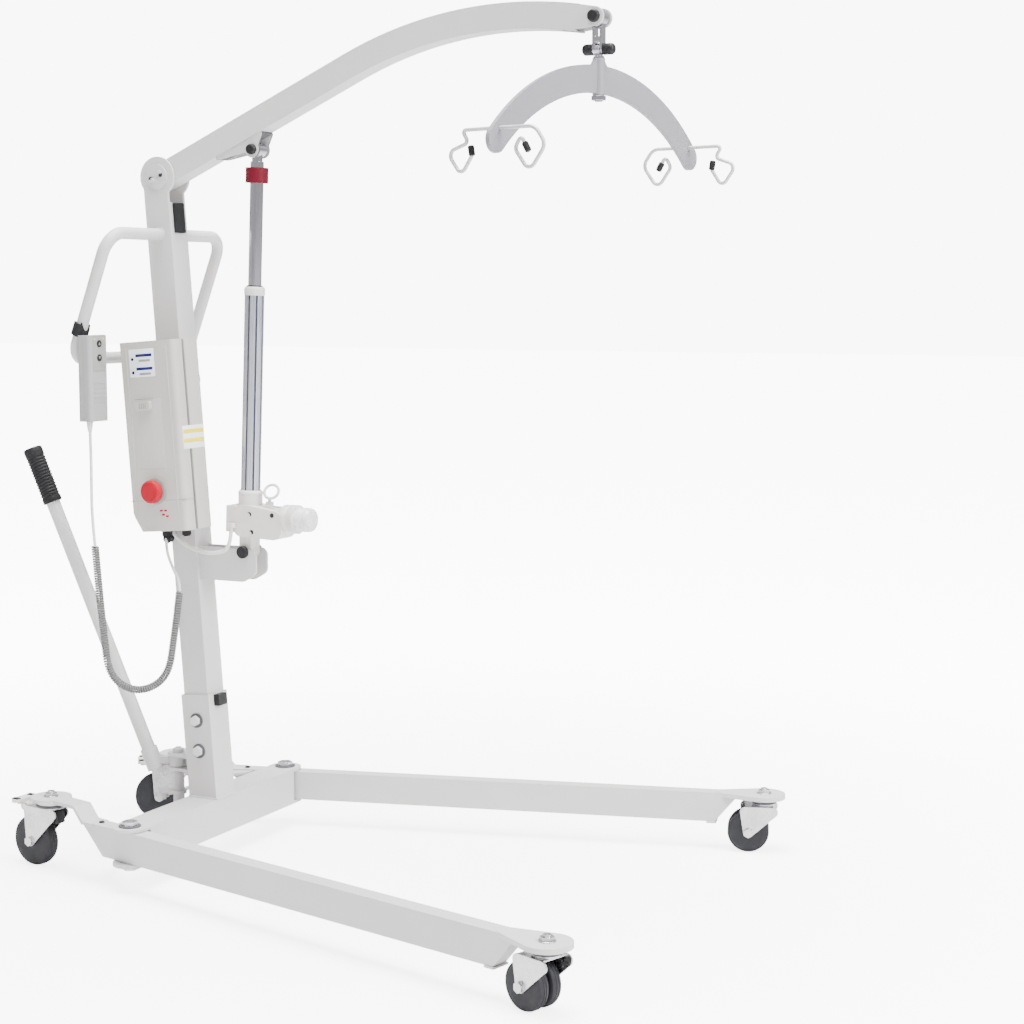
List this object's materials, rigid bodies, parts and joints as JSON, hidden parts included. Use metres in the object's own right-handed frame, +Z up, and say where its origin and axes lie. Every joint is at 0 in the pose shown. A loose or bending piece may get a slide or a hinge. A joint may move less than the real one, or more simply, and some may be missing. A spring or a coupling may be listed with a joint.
{
  "type": "patient lift hoist",
  "caption": "Mobile patient lift with an electric actuator, curved boom, spreader with sling hooks and a lever-spread wheeled base",
  "frame": {"origin": "on the floor, under the middle of the lift's bounding box as stored", "axes": "+X forward along the open legs, +Y to the lift's left, +Z up"},
  "size_m": [1.2649, 1.0064, 1.4648],
  "materials": {
    "powder_coat": "light warm grey powder coat, fine orange peel, satin",
    "cool_grey_coat": "cool grey satin paint",
    "chrome": "bright chrome plate",
    "zinc": "bright zinc plated pressed steel",
    "aluminium": "extruded anodised aluminium with long flutes",
    "black_plastic": "moulded matt black plastic",
    "black_rubber": "matt black rubber",
    "box_plastic": "light grey moulded plastic",
    "grey_plastic": "mid grey moulded plastic",
    "cable_grey": "grey cable sheath",
    "dark_red": "dark red plastic",
    "signal_red": "bright red glossy plastic",
    "tyre_grey": "dark grey tread on a plastic hub"
  },
  "bodies": {
    "base": {"cross_beam": "powder_coat", "mast_socket": "powder_coat", "frame_bolts": "zinc", "socket_knob": "black_plastic", "mast_tube": "powder_coat", "boom_pivot_pin": "chrome", "mast_bumper": "black_rubber", "push_handle": "powder_coat", "actuator_bracket": "powder_coat", "actuator_foot_pins": "black_plastic", "control_box": "box_plastic", "battery_pack": "box_plastic", "handset_case": "grey_plastic", "handset_hook": "black_plastic", "cable_glands": "grey_plastic", "cable_top": "cable_grey", "cable_coil": "cable_grey", "cable_tail": "cable_grey", "motor_lead": "cable_grey"},
    "battery_catch": {"battery_catch": "box_plastic"},
    "stop_button": {"stop_button": "signal_red"},
    "button_up": {"button_up": "black_plastic"},
    "button_down": {"button_down": "black_plastic"},
    "lever": {"crank_shaft": "powder_coat", "lever_tube": "powder_coat", "lever_grip": "black_rubber"},
    "tie_left": {"tie_rod_left": "powder_coat"},
    "tie_right": {"tie_rod_right": "powder_coat"},
    "leg_left": {"leg_left": "powder_coat", "left_castor_stems": "zinc"},
    "leg_right": {"leg_right": "powder_coat", "right_castor_stems": "zinc"},
    "boom": {"boom_tube": "powder_coat", "boom_bracket": "powder_coat", "boom_pins": "black_plastic"},
    "hanger": {"hanger_link": "chrome", "hanger_cross_bolt": "black_plastic"},
    "swivel": {"swivel_bolt": "chrome"},
    "spreader": {"spreader_plate": "cool_grey_coat", "sling_bar_left": "zinc", "sling_bar_right": "zinc", "hook_tips": "black_plastic"},
    "rod": {"piston_rod": "chrome", "rod_collar": "dark_red"},
    "actuator": {"gear_housing": "box_plastic", "motor_housing": "box_plastic", "outer_tube": "aluminium"},
    "ring": {"lowering_ring": "box_plastic"},
    "front_left_castor": {"front_left_fork": "zinc"},
    "front_left_wheel_a": {"front_left_wheel_a": "tyre_grey"},
    "front_left_wheel_b": {"front_left_wheel_b": "tyre_grey"},
    "rear_left_castor": {"rear_left_fork": "zinc"},
    "rear_left_wheel": {"rear_left_wheel": "tyre_grey"},
    "rear_left_pedal": {"rear_left_pedal": "black_plastic"},
    "front_right_castor": {"front_right_fork": "zinc"},
    "front_right_wheel_a": {"front_right_wheel_a": "tyre_grey"},
    "front_right_wheel_b": {"front_right_wheel_b": "tyre_grey"},
    "rear_right_castor": {"rear_right_fork": "zinc"},
    "rear_right_wheel": {"rear_right_wheel": "tyre_grey"},
    "rear_right_pedal": {"rear_right_pedal": "black_plastic"}
  },
  "joints": [
    {"name": "spread_lever", "type": "hinge", "parent": "base", "child": "lever", "pos_m": [-0.3585, 0, 0.1655], "axis": [0, 0, 1], "range_deg": [-48, 19.15]},
    {"name": "leg_left_splay", "type": "hinge", "parent": "base", "child": "leg_left", "pos_m": [-0.2865, 0.243, 0.078], "axis": [0, 0, 1], "range_deg": [-14.2, 5.7]},
    {"name": "leg_right_splay", "type": "hinge", "parent": "base", "child": "leg_right", "pos_m": [-0.2865, -0.243, 0.078], "axis": [0, 0, -1], "range_deg": [-14.2, 5.7]},
    {"name": "tie_left_pin", "type": "hinge", "parent": "lever", "child": "tie_left", "pos_m": [-0.38748, -0.00776, 0.1015], "axis": [0, 0, 1], "range_deg": [-21.4, 53.4]},
    {"name": "tie_right_pin", "type": "hinge", "parent": "lever", "child": "tie_right", "pos_m": [-0.32952, 0.00776, 0.0675], "axis": [0, 0, 1], "range_deg": [-17.8, 44.3]},
    {"name": "front_left_swivel", "type": "hinge", "parent": "leg_left", "child": "front_left_castor", "pos_m": [0.59492, 0.46522, 0.1], "axis": [0, 0, 1], "continuous": true},
    {"name": "front_left_wheel_a_spin", "type": "hinge", "parent": "front_left_castor", "child": "front_left_wheel_a", "pos_m": [0.56845, 0.4561, 0.0375], "axis": [-0.3256, 0.9455, 0], "continuous": true},
    {"name": "front_left_wheel_b_spin", "type": "hinge", "parent": "front_left_castor", "child": "front_left_wheel_b", "pos_m": [0.56845, 0.4561, 0.0375], "axis": [-0.3256, 0.9455, 0], "continuous": true},
    {"name": "rear_left_swivel", "type": "hinge", "parent": "leg_left", "child": "rear_left_castor", "pos_m": [-0.49498, 0.19044, 0.1], "axis": [0, 0, 1], "continuous": true},
    {"name": "rear_left_wheel_spin", "type": "hinge", "parent": "rear_left_castor", "child": "rear_left_wheel", "pos_m": [-0.52572, 0.1681, 0.045], "axis": [-0.5878, 0.809, 0], "continuous": true},
    {"name": "rear_left_brake", "type": "hinge", "parent": "rear_left_castor", "child": "rear_left_pedal", "pos_m": [-0.53705, 0.15988, 0.106], "axis": [0.5878, -0.809, 0], "range_deg": [0, 10]},
    {"name": "front_right_swivel", "type": "hinge", "parent": "leg_right", "child": "front_right_castor", "pos_m": [0.59492, -0.46522, 0.1], "axis": [0, 0, 1], "continuous": true},
    {"name": "front_right_wheel_a_spin", "type": "hinge", "parent": "front_right_castor", "child": "front_right_wheel_a", "pos_m": [0.56869, -0.45541, 0.0375], "axis": [0.3502, 0.9367, 0], "continuous": true},
    {"name": "front_right_wheel_b_spin", "type": "hinge", "parent": "front_right_castor", "child": "front_right_wheel_b", "pos_m": [0.56869, -0.45541, 0.0375], "axis": [0.3502, 0.9367, 0], "continuous": true},
    {"name": "rear_right_swivel", "type": "hinge", "parent": "leg_right", "child": "rear_right_castor", "pos_m": [-0.49498, -0.19044, 0.1], "axis": [0, 0, 1], "continuous": true},
    {"name": "rear_right_wheel_spin", "type": "hinge", "parent": "rear_right_castor", "child": "rear_right_wheel", "pos_m": [-0.53277, -0.18647, 0.045], "axis": [0.1045, 0.9945, 0], "continuous": true},
    {"name": "rear_right_brake", "type": "hinge", "parent": "rear_right_castor", "child": "rear_right_pedal", "pos_m": [-0.54669, -0.18501, 0.106], "axis": [-0.1045, -0.9945, 0], "range_deg": [0, 10]},
    {"name": "boom_lift", "type": "hinge", "parent": "base", "child": "boom", "pos_m": [-0.3645, 0, 1.208], "axis": [0, -1, 0], "range_deg": [-53.5, 40]},
    {"name": "rod_eye", "type": "hinge", "parent": "boom", "child": "rod", "pos_m": [-0.1715, 0, 1.25], "axis": [0, -1, 0], "range_deg": [-39, 52]},
    {"name": "actuator_extend", "type": "slide", "parent": "rod", "child": "actuator", "axis": [-0.0403, 0, -0.9992], "range_m": [-0.1635, 0.1225]},
    {"name": "ring_pull", "type": "slide", "parent": "actuator", "child": "ring", "axis": [0, 0, 1], "range_m": [0, 0.006], "stiffness_N_per_m": 400},
    {"name": "hanger_swing", "type": "hinge", "parent": "boom", "child": "hanger", "pos_m": [0.4645, 0, 1.435], "axis": [0, -1, 0], "range_deg": [-26, 75]},
    {"name": "hanger_tilt", "type": "hinge", "parent": "hanger", "child": "swivel", "pos_m": [0.4645, 0, 1.3855], "axis": [1, 0, 0], "range_deg": [-25, 25]},
    {"name": "spreader_turn", "type": "hinge", "parent": "swivel", "child": "spreader", "pos_m": [0.4645, 0, 1.34], "axis": [0, 0, 1], "continuous": true},
    {"name": "stop_press", "type": "slide", "parent": "base", "child": "stop_button", "axis": [0, 1, 0], "range_m": [0, 0.005], "stiffness_N_per_m": 800},
    {"name": "catch_slide", "type": "slide", "parent": "base", "child": "battery_catch", "axis": [-0.075, 0, 0.9972], "range_m": [0, 0.005], "stiffness_N_per_m": 300},
    {"name": "press_up", "type": "slide", "parent": "base", "child": "button_up", "axis": [-1, 0, 0], "range_m": [0, 0.0015], "stiffness_N_per_m": 800},
    {"name": "press_down", "type": "slide", "parent": "base", "child": "button_down", "axis": [-1, 0, 0], "range_m": [0, 0.0015], "stiffness_N_per_m": 800}
  ],
  "couplings": [
    {"joint": "leg_left_splay", "follows": "spread_lever", "ratio": 0.295},
    {"joint": "leg_right_splay", "follows": "spread_lever", "ratio": 0.295},
    {"joint": "tie_left_pin", "follows": "spread_lever", "ratio": -1.11},
    {"joint": "tie_right_pin", "follows": "spread_lever", "ratio": -0.92},
    {"joint": "rod_eye", "follows": "boom_lift", "ratio": -0.965},
    {"joint": "actuator_extend", "follows": "boom_lift", "m_per_rad": 0.1748}
  ]
}
